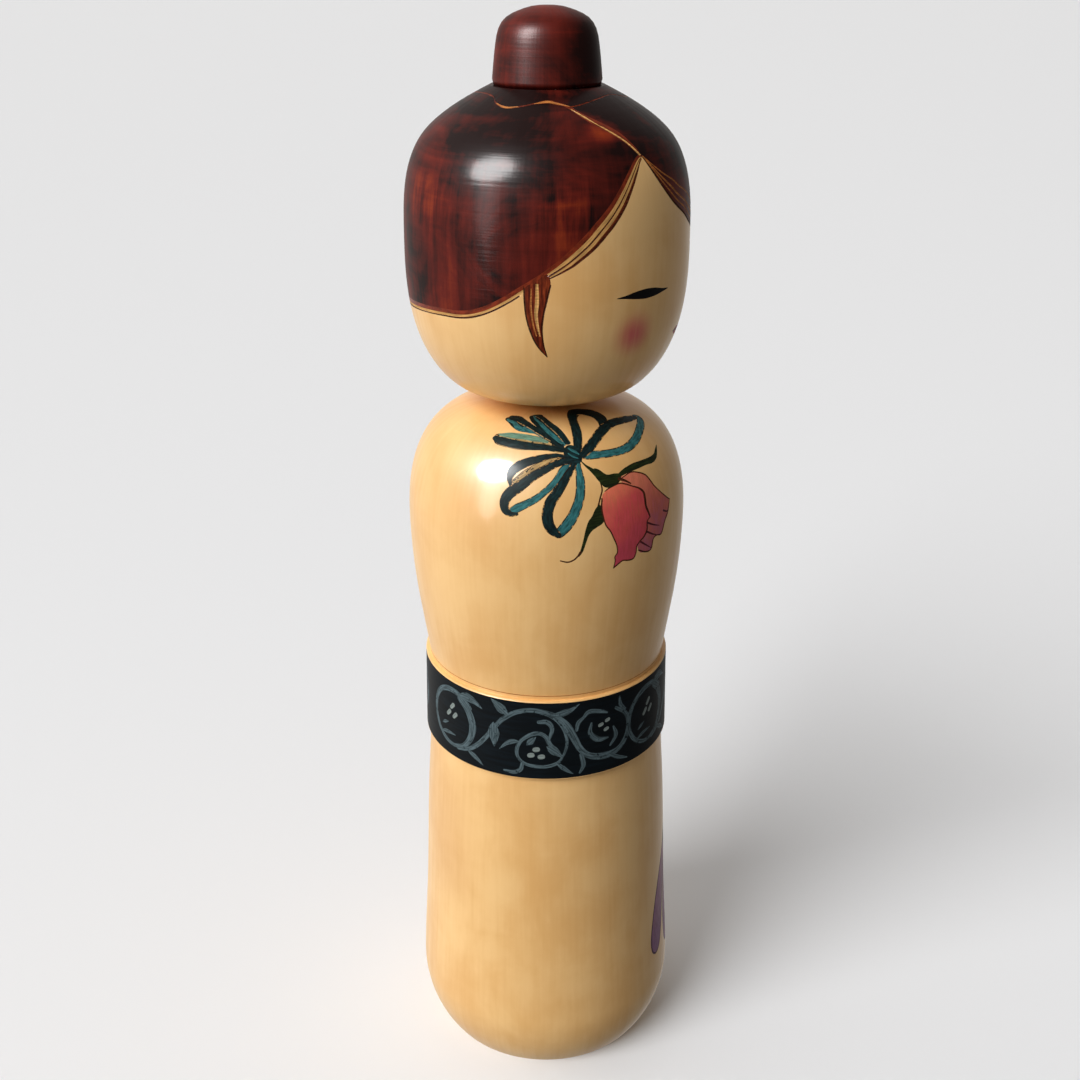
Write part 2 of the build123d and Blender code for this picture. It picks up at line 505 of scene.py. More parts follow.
class Shader:
    """A small helper for building a node material from sockets and numbers."""

    def __init__(self, name):
        self.mat = bpy.data.materials.new(name)
        self.mat.use_nodes = True
        self.tree = self.mat.node_tree
        self.tree.nodes.clear()
        self.out = self.node("ShaderNodeOutputMaterial")
        self.bsdf = self.node("ShaderNodeBsdfPrincipled")
        self.tree.links.new(self.bsdf.outputs[0], self.out.inputs["Surface"])
        self.pos = self.node("ShaderNodeTexCoord").outputs["Object"]
        flat = self.vector("MULTIPLY", self.pos, (1, 1, 0))
        self.round = self.vector("NORMALIZE", flat)
        parts = self.node("ShaderNodeSeparateXYZ")
        self.link(self.pos, parts.inputs[0])
        self.height = parts.outputs["Z"]

    def node(self, kind, **settings):
        made = self.tree.nodes.new(kind)
        for key, value in settings.items():
            setattr(made, key, value)
        return made

    def link(self, value, socket):
        if isinstance(value, bpy.types.NodeSocket):
            self.tree.links.new(value, socket)
        else:
            socket.default_value = value

    def vector(self, operation, *values):
        made = self.node("ShaderNodeVectorMath", operation=operation)
        for value, socket in zip(values, made.inputs):
            self.link(value, socket)
        return made.outputs["Value" if operation in ("DISTANCE", "LENGTH") else "Vector"]

    def math(self, operation, *values):
        made = self.node("ShaderNodeMath", operation=operation)
        for value, socket in zip(values, made.inputs):
            self.link(value, socket)
        return made.outputs[0]

    def around(self, across, along):
        """Coordinates that run round the doll and up it, with no seam."""
        turned = self.vector("SCALE", self.round)
        turned.node.inputs["Scale"].default_value = across
        lift = self.vector("MULTIPLY", self.pos, (0, 0, along))
        return self.vector("ADD", turned, lift)

    def noise(self, where, scale, detail, rough, warp=0.0):
        made = self.node("ShaderNodeTexNoise")
        self.link(where, made.inputs["Vector"])
        made.inputs["Scale"].default_value = scale
        made.inputs["Detail"].default_value = detail
        made.inputs["Roughness"].default_value = rough
        made.inputs["Distortion"].default_value = warp
        return made.outputs["Fac"]

    def ramp(self, value, *stops):
        made = self.node("ShaderNodeValToRGB")
        self.link(value, made.inputs[0])
        while len(made.color_ramp.elements) < len(stops):
            made.color_ramp.elements.new(0.5)
        for i, (at, colour) in enumerate(stops):
            made.color_ramp.elements[i].position = at
            made.color_ramp.elements[i].color = (*colour, 1)
        return made.outputs["Color"]

    def level(self, value, low, high, to_low=0.0, to_high=1.0):
        made = self.node("ShaderNodeMapRange", interpolation_type="SMOOTHSTEP")
        for item, socket in zip((value, low, high, to_low, to_high), made.inputs):
            self.link(item, socket)
        return made.outputs[0]

    def mix(self, amount, first, second, blend="MIX"):
        made = self.node("ShaderNodeMix", data_type="RGBA", blend_type=blend)
        self.link(amount, made.inputs[0])
        for value, socket in ((first, made.inputs[6]), (second, made.inputs[7])):
            plain = isinstance(value, tuple)
            self.link((*value, 1) if plain else value, socket)
        return made.outputs[2]

    def bump(self, height, strength, distance):
        made = self.node("ShaderNodeBump")
        made.inputs["Strength"].default_value = strength
        made.inputs["Distance"].default_value = distance
        self.link(height, made.inputs["Height"])
        return made.outputs["Normal"]

    def spot(self, centre, reach):
        """1 at a point on the doll, falling smoothly to 0 at a distance in millimetres."""
        away = self.vector("DISTANCE", self.pos, tuple(c * MM for c in centre))
        return self.level(away, reach * MM, 0.0)

    def finish(self, colour, rough, coat, coat_rough, normal=None):
        """Sets the surface and hands over the material."""
        self.link(colour if not isinstance(colour, tuple) else (*colour, 1),
                  self.bsdf.inputs["Base Color"])
        self.link(rough, self.bsdf.inputs["Roughness"])
        self.bsdf.inputs["Coat Weight"].default_value = coat
        self.bsdf.inputs["Coat Roughness"].default_value = coat_rough
        if normal is not None:
            self.link(normal, self.bsdf.inputs["Normal"])
            self.link(normal, self.bsdf.inputs["Coat Normal"])
        return self.mat


def rgb(code):
    """Linear colour from a six-digit sRGB code."""
    channels = [int(code[i:i + 2], 16) / 255 for i in (0, 2, 4)]
    return tuple(c / 12.92 if c < 0.04045 else ((c + 0.055) / 1.055) ** 2.4 for c in channels)


def wood_colour(sh, pale, deep):
    """Pale close-grained wood: soft blotches, faint upright grain and fine pores."""
    fibre = sh.noise(sh.around(0.030, 0.05), 900, 3, 0.6)
    figure = sh.noise(sh.around(0.030, 0.30), 110, 3, 0.5, 0.6)
    blotch = sh.noise(sh.pos, 60, 4, 0.55, 0.3)
    amount = sh.math("ADD", sh.math("MULTIPLY", figure, 0.30), sh.math("MULTIPLY", blotch, 0.55))
    amount = sh.math("ADD", amount, sh.math("MULTIPLY", fibre, 0.15))
    return sh.mix(sh.level(amount, 0.34, 0.68), pale, deep), fibre


def turned_normal(sh, fibre, strength=0.12):
    """Fine rings left by the lathe under the varnish, with a little upright grain."""
    rings = sh.noise(sh.vector("MULTIPLY", sh.pos, (0.02, 0.02, 1)), 1400, 2, 0.6)
    swell = sh.noise(sh.vector("MULTIPLY", sh.pos, (0.3, 0.3, 1)), 120, 2, 0.5)
    height = sh.math("ADD", sh.math("MULTIPLY", rings, 0.5), sh.math("MULTIPLY", fibre, 0.2))
    height = sh.math("ADD", height, sh.math("MULTIPLY", swell, 1.6))
    return sh.bump(height, strength, 0.0002)


WOOD_PALE, WOOD_DEEP = rgb("EEC384"), rgb("E0AD6A")


def pale_wood(name, spots=()):
    """Varnished pale wood. Each spot is (centre, reach, colour, strength)."""
    sh = Shader(name)
    colour, fibre = wood_colour(sh, WOOD_PALE, WOOD_DEEP)
    for centre, reach, tint, strength in spots:
        grainy = sh.math("MULTIPLY", sh.spot(centre, reach), sh.level(fibre, 0.1, 0.6, 0.75, 1))
        colour = sh.mix(sh.math("MULTIPLY", grainy, strength), colour, tint)
    rough = sh.level(fibre, 0.2, 0.8, 0.38, 0.5)
    sh.bsdf.inputs["Specular IOR Level"].default_value = 0.3
    return sh.finish(colour, rough, 0.35, 0.13, turned_normal(sh, fibre))


def hair_stain(name, dark, mid, worn, wear, spots, turned_above, darker_above=0.0, gloss=0.2):
    """Red-brown stain over wood, worn along the grain and, higher up, along the turning.

    Each spot is (centre, reach, strength): more worn where positive, darker where negative; a
    darker spot is painted shade.
    """
    sh = Shader(name)
    upright = sh.noise(sh.around(0.030, 0.10), 420, 4, 0.62, 0.3)
    rings = sh.noise(sh.vector("MULTIPLY", sh.pos, (0.10, 0.10, 1)), 300, 4, 0.6, 0.5)
    cloud = sh.noise(sh.pos, 75, 4, 0.6, 0.8)
    lathe = sh.level(sh.height, turned_above * MM, (turned_above + 14) * MM, 0.25, 0.8)
    grain = sh.math("ADD", sh.math("MULTIPLY", rings, lathe),
                    sh.math("MULTIPLY", upright, sh.math("SUBTRACT", 1.0, lathe)))
    amount = sh.math("ADD", sh.math("MULTIPLY", grain, 0.42), sh.math("MULTIPLY", cloud, 0.42))
    amount = sh.math("ADD", amount, 0.06)
    amount = sh.math("SUBTRACT", amount, sh.math("MULTIPLY", lathe, darker_above))
    for centre, reach, strength in spots:
        wear_and_shade = sh.math("MULTIPLY", sh.spot(centre, reach), sh.level(grain, 0.35, 0.6, 0.3, 1.0))
        amount = sh.math("ADD", amount, sh.math("MULTIPLY", wear_and_shade, strength))
    colour = sh.ramp(amount, (0.38, dark), (0.54, mid), (0.54 + 0.2 / wear, worn))
    fibre = sh.noise(sh.around(0.030, 0.05), 900, 3, 0.6)
    sh.bsdf.inputs["Specular IOR Level"].default_value = 0.03
    rough = sh.level(upright, 0.2, 0.8, 0.45, 0.6)
    return sh.finish(colour, rough, 0.17, gloss, turned_normal(sh, fibre, 0.35))


def paint(name, first, second, streak, lay=(0.3, 2.6), rough=0.5, shine=0.15,
          middle=None, through=None, through_at=(0.62, 0.74)):
    """Brushed paint fading from one colour to another, thin enough to show its strokes.

    lay is how fine the strokes are along and across the brush, and through is a ground
    colour that shows in speckles.
    """
    sh = Shader(name)
    brush = sh.node("ShaderNodeAttribute", attribute_name="brush").outputs["Vector"]
    parts = sh.node("ShaderNodeSeparateXYZ")
    sh.link(brush, parts.inputs[0])
    hairs = sh.noise(sh.vector("MULTIPLY", brush, (*lay, 0)), 1.0, 3, 0.6)
    cloud = sh.noise(sh.pos, 260, 2, 0.5)
    wander = sh.math("SUBTRACT", sh.math("ADD", hairs, cloud), 1.0)
    amount = sh.math("ADD", parts.outputs["Z"], sh.math("MULTIPLY", wander, 0.7))
    stops = [(0.0, first), (0.95, second)]
    if middle is not None:
        stops.insert(1, (0.45, middle))
    colour = sh.ramp(amount, *stops)
    shade = sh.level(hairs, 0.3, 0.7, 1 - streak, 1 + 0.6 * streak)
    grey = sh.node("ShaderNodeCombineColor")
    for socket in grey.inputs:
        sh.link(shade, socket)
    colour = sh.mix(1.0, colour, grey.outputs[0], "MULTIPLY")
    if through is not None:
        speckle = sh.noise(sh.pos, 1100, 2, 0.7)
        colour = sh.mix(sh.level(speckle, *through_at), colour, through)
    sh.bsdf.inputs["Specular IOR Level"].default_value = 0.05
    return sh.finish(colour, rough, shine, 0.2, sh.bump(hairs, 0.2, 0.0001))


def place_on(outline, angle, along):
    """Point in millimetres at a chart position."""
    r, z = outline.place(along)
    a = math.radians(angle)
    return (float(r) * math.sin(a), -float(r) * math.cos(a), float(z))


# ---------------------------------------------------------------- outlines of the three pieces

waist_low = turned_outline("body", 0.0, band_bottom_z - 0.5, 12.0,
                           last=[(waist_below_radius, band_bottom_z)])
waist_high = turned_outline("body", band_top_z + 0.5, neck_z, seat_radius - 0.1,
                            first=[(waist_above_radius, band_top_z)])
low_ledge_radius = band_bottom_radius - band_edge_round
high_ledge_radius = band_top_radius - band_edge_round
face_foot_z, face_head_z = band_bottom_z + band_edge_round, band_top_z - band_edge_round
body_outline = Outline([
    waist_low,
    np.array([waist_low[-1], [low_ledge_radius, band_bottom_z]]),
    rounded_corner((low_ledge_radius, face_foot_z), band_edge_round, -90, 0),
    np.array([[band_bottom_radius, face_foot_z], [band_top_radius, face_head_z]]),
    rounded_corner((high_ledge_radius, face_head_z), band_edge_round, 0, 90),
    np.array([[high_ledge_radius, band_top_z], waist_high[0]]),
    waist_high,
])
head_outline = Outline([turned_outline("head", chin_z, crown_z, chin_flat_radius - 0.1)])
knot_top = turned_outline("topknot", crown_z + 0.02, doll_height, 0.5, spacing=0.2, fine=0.15,
                          first=[(knot_base_radius - knot_edge_round, crown_z)])
knot_outline = Outline([knot_top])
head_origin = head_outline.along_at(brow_z) - brow_along
face_low, face_high, ledge_root = (body_outline.joins[i] for i in (2, 3, 5))

# ---------------------------------------------------------------- colours

cheeks = [(place_on(head_outline, a, 29.8 + head_origin), 6.2, rgb("CB4456"), 0.85)
          for a in (-38, 38)]
stains = [(place_on(body_outline, -128, s), 13, rgb("C48A4C"), 0.28) for s in (52, 62, 72)]
stains += [(place_on(body_outline, -112, 152), 12, rgb("D9A05C"), 0.35),
           (place_on(body_outline, -150, 120), 20, rgb("CF9854"), 0.25),
           (place_on(body_outline, -20, 110), 18, rgb("CF9854"), 0.2),
           (place_on(body_outline, 60, 140), 16, rgb("D2A05C"), 0.25)]
body_wood = pale_wood("pale_wood_body", stains)
head_wood = pale_wood("pale_wood_head", cheeks)
hair = hair_stain("hair_stain", rgb("1A0706"), rgb("5C180F"), rgb("9A3A16"), 0.8, [
    (place_on(head_outline, -68, 56 + head_origin), 8, 0.22),
    (place_on(head_outline, -46, 70.5 + head_origin), 5, 0.25),
    (place_on(head_outline, -70, 79 + head_origin), 6, 0.25),
    (place_on(head_outline, -128, 56 + head_origin), 13, 0.13),
    (place_on(head_outline, -66, 48 + head_origin), 6, 0.12),
    (place_on(head_outline, 66, 52 + head_origin), 9, 0.16),
    (place_on(head_outline, -118, 36 + head_origin), 9, 0.08),
], turned_above=206, darker_above=0.10)
# Topknot stain, with one darker spot on the side away from the window that is painted shade
knot_stain_and_shade = hair_stain("topknot_stain_and_shade", rgb("220806"), rgb("64190E"), rgb("9A361A"), 0.9,
                       [(place_on(knot_outline, -20, 8), 13, -0.2)], turned_above=222,
                       gloss=0.34)
upright = (2.4, 0.3)
scorch = paint("scorched_line", rgb("42200F"), rgb("6A3818"), 0.5, rough=0.7, shine=0.05)
scorch_dots = paint("scorched_outline", rgb("1C140C"), rgb("3A2210"), 0.4, rough=0.6,
                    through=rgb("B98A50"), through_at=(0.53, 0.60))
bare_cut = paint("bare_cut_wood", rgb("CF9E5E"), rgb("A86C38"), 0.4, rough=0.7, shine=0.1)
outer_line = paint("outer_strand_line", rgb("4E2210"), rgb("7C3A1C"), 0.5, rough=0.6, shine=0.1)
strand = paint("strand_stain", rgb("6A250F"), rgb("A85226"), 0.6, (0.35, 3.2), 0.5, 0.1)
lock_stain = paint("sidelock_stain", rgb("6A250F"), rgb("A85226"), 0.6, upright, 0.5, 0.1)
halo = paint("stain_halo", rgb("7A2C14"), rgb("4E160C"), 0.5, (0.5, 1.2), 0.4, 0.3)
eye_black = paint("eye_black", rgb("060505"), rgb("0A0808"), 0.2, shine=0.1)
lip_red = paint("lip_red", rgb("A8303A"), rgb("7A1E28"), 0.3)
sash = paint("sash_black", rgb("060D12"), rgb("0D1A22"), 0.35, (0.10, 1.2), 0.55, 0.06)
scroll_grey = paint("scroll_grey", rgb("4E5E64"), rgb("38454C"), 0.7, (0.25, 2.8), 0.55, 0.06,
                    through=rgb("0E1B20"), through_at=(0.56, 0.72))
dot_grey = paint("scroll_dots", rgb("7F8A88"), rgb("626F70"), 0.4, shine=0.06)
navy = paint("ribbon_navy", rgb("0A2022"), rgb("173E42"), 0.6, (0.5, 2.0))
teal = paint("ribbon_teal", rgb("2F6A6E"), rgb("1A4A50"), 0.6, (0.5, 2.0))
sea = paint("ribbon_sea", rgb("668C78"), rgb("2C6266"), 0.45)
pale_speckle = paint("ribbon_pale", rgb("B2925E"), rgb("7E7A54"), 0.5, through=rgb("2E2A1C"),
                     through_at=(0.54, 0.60))
leaf_green = paint("leaf_green", rgb("1C260D"), rgb("34481A"), 0.6)
rose = paint("rose_front", rgb("E4785A"), rgb("C44858"), 0.15, upright, middle=rgb("D25252"))
rose_back = paint("rose_back", rgb("DC7C60"), rgb("9C567C"), 0.15, upright,
                  middle=rgb("C8685A"))
petal_edge = paint("petal_edge", rgb("4E1620"), rgb("34120E"), 0.4)
mauve = paint("mauve_petal", rgb("B38494"), rgb("8E6488"), 0.3, upright)
mauve_deep = paint("mauve_deep", rgb("86587A"), rgb("6A4A78"), 0.3, upright)
mauve_edge = paint("mauve_edge", rgb("54304A"), rgb("44263A"), 0.4)
amber_line = paint("amber_line", rgb("B8743A"), rgb("8C4A20"), 0.4)

# ---------------------------------------------------------------- head: hair, face

head = Skin("head_skin", head_outline, head_wood, head_origin)

# Lower edge of the hair: round the back, up over the doll's right brow to the parting, then
# down across the forehead and round the doll's left side
right_edge = [(-180, 32.0), (-160, 32.0), (-140, 32.8), (-120, 33.6), (-111, 33.9), (-104, 34.6),
              (-97, 36.0), (-90, 38.0), (-85, 39.7), (-80, 41.3), (-75, 43.0), (-70, 44.9),
              (-65, 47.0), (-60, 49.3), (-55, 52.0), (-50, 54.7), (-45, 57.8), (-40, 60.8),
              (-35.6, 62.9), (-32.5, 63.7)]
left_edge = [(-32.5, 63.7), (-29, 60.7), (-25, 57.9), (-20, 55.2), (-15, 53.2), (-8, 51.2),
             (0, 48.8), (15, 45.6), (30, 43.8), (45, 42.7), (60, 41.9), (75, 40.8), (90, 38.8),
             (105, 36.0), (120, 34.4), (140, 33.0), (160, 32.0), (180, 32.0)]
strand_root = right_edge.index((-75, 43.0))
hem_end, hem_start = right_edge.index((-85, 39.7)), left_edge.index((90, 38.8))
sidelock_root = left_edge.index((75, 40.8))


def chart_line(skin, points):
    """Smooth chart line through (angle, distance) points."""
    return spline(skin.chart(points), CURVE_PITCH)


def beside(skin, points, offsets, widths):
    """Points of a line run to the right of another line, with its own offsets and widths."""
    mid = chart_line(skin, points)
    stretch = skin.outline.radius(mid[:, 1]) / CHART_RADIUS
    run = np.gradient(np.column_stack([mid[:, 0] * stretch, mid[:, 1]]), axis=0)
    run /= np.hypot(*run.T)[:, None]
    t = np.linspace(0, 1, len(mid))
    off = np.interp(t, np.linspace(0, 1, len(offsets)), offsets)
    wide = np.interp(t, np.linspace(0, 1, len(widths)), widths)
    x = mid[:, 0] + run[:, 1] / stretch * off
    s = mid[:, 1] - run[:, 0] * off - skin.origin
    pick = list(range(0, len(mid), 3))
    if abs(x[-1]) > skin.half_turn - 0.01:
        pick[-1] = len(mid) - 2    # ends a hair short of the back seam
    return list(zip(np.degrees(x[pick] / CHART_RADIUS), s[pick], wide[pick]))


top, half_turn = head_outline.length, head.half_turn
head.add(np.vstack([chart_line(head, right_edge), chart_line(head, left_edge)[1:],
                    [[half_turn, top], [-half_turn, top]]]), hair)

# A bare sliver below the stain and the thin scorched line cut round under it
for edge in (right_edge[:strand_root + 1], left_edge[sidelock_root:]):
    head.stroke(beside(head, edge, [-0.45], [0.9]), halo)
    head.stroke(beside(head, edge, [0.15], [0.5, 0.35, 0.5, 0.4, 0.5]), bare_cut)
for hem in (right_edge[:hem_end + 1], left_edge[hem_start:]):
    head.carve(beside(head, hem, [0.55], [0.3, 0.4, 0.22, 0.38, 0.3]), 0.05, scorch)

# Strands beside the hair on the doll's right brow: two bare slivers and two stained lines
brow = right_edge[strand_root:]
head.stroke(beside(head, brow, [-0.45, -0.5, -0.4, -0.3], [0.9, 1.1, 0.9, 0.6]), halo)
head.stroke(beside(head, brow, [0.5, 1.0, 1.25, 1.25, 1.1, 0.6, 0.1],
                   [0.6, 1.7, 2.2, 2.3, 2.1, 1.3, 0.3]), strand)
head.stroke(beside(head, brow, [0.0, 0.25, 0.35, 0.4, 0.3, 0.2, 0.0],
                   [0.3, 0.7, 0.8, 0.85, 0.7, 0.5, 0.25]), bare_cut)
head.stroke(beside(head, brow, [0.6, 1.15, 1.35, 1.35, 1.1, 0.7, 0.2],
                   [0.2, 0.5, 0.6, 0.65, 0.5, 0.35, 0.15]), bare_cut)
head.carve(beside(head, brow, [0.3, 0.7, 0.85, 0.88, 0.7, 0.45, 0.1],
                  [0.15, 0.24, 0.26, 0.26, 0.24, 0.2, 0.15]), 0.05, scorch)
head.carve(beside(head, brow, [0.8, 1.7, 2.1, 2.2, 1.9, 1.2, 0.2],
                  [0.25, 0.4, 0.5, 0.5, 0.45, 0.4, 0.2]), 0.06, outer_line)


def mirrored(points, way, middle=0.0):
    """Points given for the doll's left, kept there (way 1) or turned to its right (way -1)."""
    return [(middle + way * (p[0] - middle), *p[1:]) for p in points]


# Sidelocks: a crescent of two strands with a light gap between them
lock = [(83.0, 40.6), (83.0, 37.8), (82.2, 34.4), (80.4, 31.2), (78, 28.8), (74.7, 26.7),
        (76.4, 29.4), (76.8, 32.4), (76.4, 35), (75.2, 38), (73.6, 41.4), (75, 43.2), (79, 41.8)]
lock_cuts = (
    ([(78.6, 41.4, 0.5), (78.6, 38.0, 0.75), (79.0, 35.4, 0.7), (78.4, 33.0, 0.5),
      (77.6, 31, 0.2)], 0.08, bare_cut),
    ([(80.8, 40.5, 0.2), (80.9, 37.0, 0.3), (80.3, 33.8, 0.3), (78.9, 31.0, 0.2)],
     0.06, amber_line),
    ([(83.4, 40.6, 0.3), (83.2, 37.4, 0.36), (82.4, 34.2, 0.36), (80.5, 31, 0.36),
      (78.1, 28.6, 0.32), (74.7, 26.5, 0.15)], 0.13, scorch),
    ([(73.6, 41.2, 0.3), (75.0, 38.2, 0.36), (76.3, 35.2, 0.36), (76.8, 32.2, 0.34),
      (76.2, 29.2, 0.3), (74.7, 26.5, 0.15)], 0.13, scorch),
)
for way in (-1, 1):
    head.patch(mirrored(lock, way), lock_stain)
    for points, depth, mat in lock_cuts:
        head.carve(mirrored(points, way), depth, mat)

# Locks that sweep from the parting across the forehead
sweep = left_edge[:left_edge.index((30, 43.8)) + 1]
head.carve(beside(head, sweep, [-0.1], [0.2, 0.4, 0.4, 0.3, 0.15]), 0.12, scorch)
for reach, wide in ((1.3, 0.3), (2.6, 0.42), (4.6, 0.34)):
    head.carve(beside(head, sweep, [-0.3, -0.8 * reach, -reach, -1.1 * reach, -reach],
                      [0.2, wide, wide, 0.8 * wide, 0.1]), 0.10, amber_line)

# Parting, cut through to bare wood from the topknot to the brow
head.stroke([(-59, 76.3, 0.9), (-52, 73.4, 1.6), (-44, 70.4, 2.0), (-38, 67.7, 1.4),
             (-33.4, 64.6, 0.5)], halo)
head.stroke([(-64, 77.6, 0.4), (-59, 76.0, 0.8), (-53, 73.6, 0.9), (-45.4, 70.5, 0.8),
             (-38, 67.2, 0.8), (-32.8, 63.9, 0.6)], strand)
head.carve([(-60, 76.3, 0.2), (-57, 75.2, 0.45), (-53, 73.6, 0.5), (-48, 71.5, 0.25),
            (-45.4, 70.5, 0.42), (-38, 67.2, 0.4), (-32.8, 63.9, 0.45)], 0.16, bare_cut)

# Wavy cut line round the foot of the topknot
head.carve([(-180, 78.2, 0.25), (-160, 79.4, 0.25), (-140, 80.0, 0.3), (-124, 79.5, 0.4),
            (-114, 77.7, 0.5), (-103, 76.5, 0.6), (-93, 77.0, 0.4), (-84, 78.0, 0.4),
            (-74, 78.6, 1.0), (-66, 77.8, 0.8), (-58, 77.0, 0.3), (-35, 78.8, 0.25),
            (-12, 79.6, 0.25), (12, 77.6, 0.4), (38, 79.4, 0.4), (66, 77.0, 0.5),
            (98, 79.6, 0.35), (128, 77.4, 0.35), (155, 79.2, 0.3), (180, 78.2, 0.25)],
           0.12, strand)
head.stroke([(-113, 77.5, 0.2), (-103, 76.5, 0.55), (-95, 76.9, 0.25)], amber_line)
head.stroke([(-84, 78.0, 0.2), (-75, 78.6, 0.7), (-68, 78.0, 0.5), (-60, 77.1, 0.2)],
            amber_line)

# Closed eyes and mouth
eye = [(47.9, 37.75), (43.5, 38.15), (39, 38.6), (34, 38.8), (29, 38.6), (24.6, 38.1),
       (20.6, 37.75), (24.6, 37.35), (29, 37.0), (34, 36.85), (39, 37.1), (43.5, 37.45)]
for way in (-1, 1):
    head.patch(mirrored(eye, way), eye_black)
head.patch([(-6.4, 27.0), (-2.6, 27.7), (0, 27.4), (2.6, 27.7), (6.4, 27.0), (3.2, 26.0),
            (0, 25.6), (-3.2, 26.0)], lip_red)
head.stroke([(-6.8, 27.05, 0.12), (-3, 26.95, 0.3), (0, 26.8, 0.35), (3, 26.95, 0.3),
             (6.8, 27.05, 0.12)], eye_black)

head_skin = head.build(
    [(bore_radius, chin_z), (bore_radius, chin_z + bore_depth), (0, chin_z + bore_depth)],
    [(crown_socket_radius, crown_z), (crown_socket_radius, crown_z - crown_socket_depth),
     (0, crown_z - crown_socket_depth)],
    hair,
)
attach(head_skin, "head")
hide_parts("head")

# ---------------------------------------------------------------- topknot

knot = Skin("topknot_skin", knot_outline, knot_stain_and_shade)
knot_skin = knot.build(
    [(crown_socket_radius, crown_z), (crown_socket_radius, spigot_z), (0, spigot_z)],
    [(0, doll_height)],
)
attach(knot_skin, "head")
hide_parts("topknot")

# ---------------------------------------------------------------- body: sash, bow, rose

body = Skin("body_skin", body_outline, body_wood)
scroll_weight = 1.22


def ring(low, high, mat):
    """A band of paint all the way round, between two distances along."""
    body.patch([(-181, low), (181, low), (181, high), (-181, high)], mat, sharp=True)


def line(points, mat, outline=0.0, shift=0.0):
    """A painted line, with a scorched outline of its own if it has one."""
    thick = scroll_weight if mat is scroll_grey else 1.0
    moved = [(a + shift, s, w * thick) for a, s, w in points]
    if outline:
        body.stroke(moved, scorch_dots, grow=2 * outline)
    body.stroke(moved, mat)


def leaf(start, end, wide, mat, bend, shift=0.0, outline=0.0):
    """A pointed leaf from one point to another, widest in its first half."""
    (a0, s0), (a1, s1) = start, end
    points = []
    for t, w in ((0, 0.1), (0.2, 0.7), (0.42, 1.0), (0.7, 0.65), (1, 0.08)):
        lift = bend * 4 * t * (1 - t)
        points.append((a0 + (a1 - a0) * t, s0 + (s1 - s0) * t + lift, wide * w))
    line(points, mat, outline, shift)


def arc(a, s, reach, start, end, width, steps):
    """Part of a circle on the sash, in degrees from the doll's left, counter-clockwise."""
    across = math.degrees(1 / band_bottom_radius)
    points = []
    for i in range(steps + 1):
        t = math.radians(start + (end - start) * i / steps)
        w = width[0] + (width[1] - width[0]) * i / steps
        points.append((a + reach * across * math.cos(t), s + reach * math.sin(t), w))
    return points


# Sash: black ground that stops just short of both rims, and a thin line above its ledge
bare_rim_low, bare_rim_high = 0.12, 0.02
ledge_line_low, ledge_line_high = 0.9, 1.1
ring(face_low + bare_rim_low, face_high - bare_rim_high, sash)
ring(ledge_root + ledge_line_low, ledge_root + ledge_line_high, amber_line)


def vine(points, shift):
    line(points, scroll_grey, shift=shift)


def dots(places, long, rise, widths, shift):
    """Short dabs in the middle of a flower or curl."""
    for a, s in places:
        line([(a - long, s + rise[0], widths[0]), (a + long, s + rise[1], widths[1])],
             dot_grey, shift=shift)


def scroll_end(shift):
    """The curl with a hooked top, a crescent and three dots inside."""
    for points in (
        [(-58.2, 100.3, 0.5), (-55.4, 101.6, 0.9), (-50, 101.2, 0.8), (-46.5, 100.4, 0.4)],
        [(-39.7, 103.4, 0.3), (-39.2, 101.4, 0.8), (-36.5, 99.8, 0.5)],
        [(-59.0, 91.0, 0.8), (-57.9, 88.4, 0.9), (-59.6, 86.5, 0.4)],
        [(-45, 89.6, 0.6), (-40, 88.0, 0.8), (-35, 87.0, 0.3)],
        [(-54.2, 98.6, 0.4), (-54.8, 96.2, 0.9), (-51, 94.2, 1.1), (-46, 94.0, 0.4)],
        [(-43.0, 96.4, 0.4), (-41.6, 94.0, 0.9), (-44.6, 91.8, 0.4)],
        [(-61.2, 97.4, 0.5), (-60.5, 99.2, 0.8), (-58.2, 100.3, 0.6)],
    ):
        vine(points, shift)
    dots(((-49.6, 97.6), (-46.2, 98.4), (-46.8, 96.2)), 0.5, (0, 0.2), (0.9, 0.9), shift)


